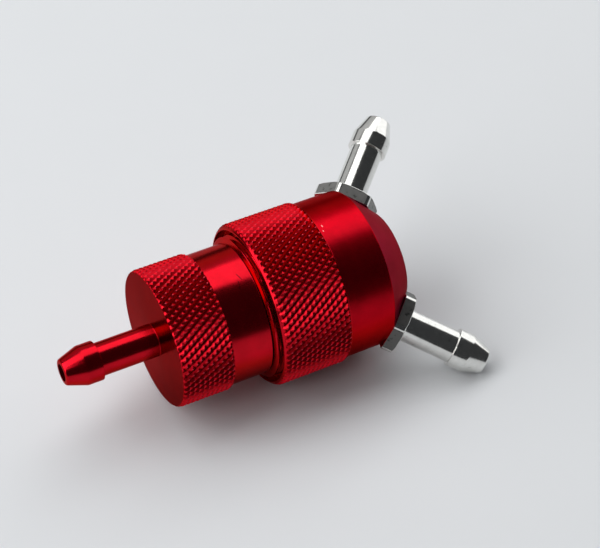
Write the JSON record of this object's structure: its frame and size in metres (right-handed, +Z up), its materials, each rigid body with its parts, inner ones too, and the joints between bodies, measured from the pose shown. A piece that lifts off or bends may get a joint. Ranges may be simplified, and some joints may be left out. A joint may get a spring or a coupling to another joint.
{
  "type": "inline fuel filter",
  "caption": "Screw-together inline fuel filter with knurled grips, a hose barb on its screw cap and angled hose nipples on its coned end.",
  "frame": {"origin": "on the filter's axis, in the middle of the inlet barb's land", "axes": "+X along the filter's axis from the inlet barb towards the cone, +Z up as the filter lies on a floor"},
  "size_m": [0.0561, 0.0338, 0.0226],
  "materials": {
    "red_anodised_cap": "red anodised, turned, polished face and knurled grip",
    "red_anodised_housing": "red anodised, turned, satin cone and knurled grip",
    "nickel_plate": "bright nickel plate over turned brass",
    "collar_brass": "turned brass",
    "screen_wire": "fine woven stainless wire",
    "seal_rubber": "matte black nitrile rubber"
  },
  "bodies": {
    "housing": {"housing": "red_anodised_housing", "outlet_nipple_upper": "nickel_plate", "outlet_nipple_lower": "nickel_plate", "outlet_seal_upper": "seal_rubber", "outlet_seal_lower": "seal_rubber"},
    "screen_carrier": {"cap_o_ring": "seal_rubber", "screen_collar": "collar_brass", "filter_screen": "screen_wire"},
    "cap": {"inlet_cap": "red_anodised_cap"}
  },
  "joints": [
    {"name": "cap_travel", "type": "slide", "parent": "housing", "child": "screen_carrier", "axis": [-1, 0, 0], "range_m": [0, 0.005]},
    {"name": "cap_turn", "type": "hinge", "parent": "screen_carrier", "child": "cap", "pos_m": [0, 0, 0], "axis": [-1, 0, 0], "range_deg": [0, 1800]}
  ],
  "couplings": [
    {"joint": "cap_travel", "follows": "cap_turn", "m_per_rad": 0.00015915}
  ]
}
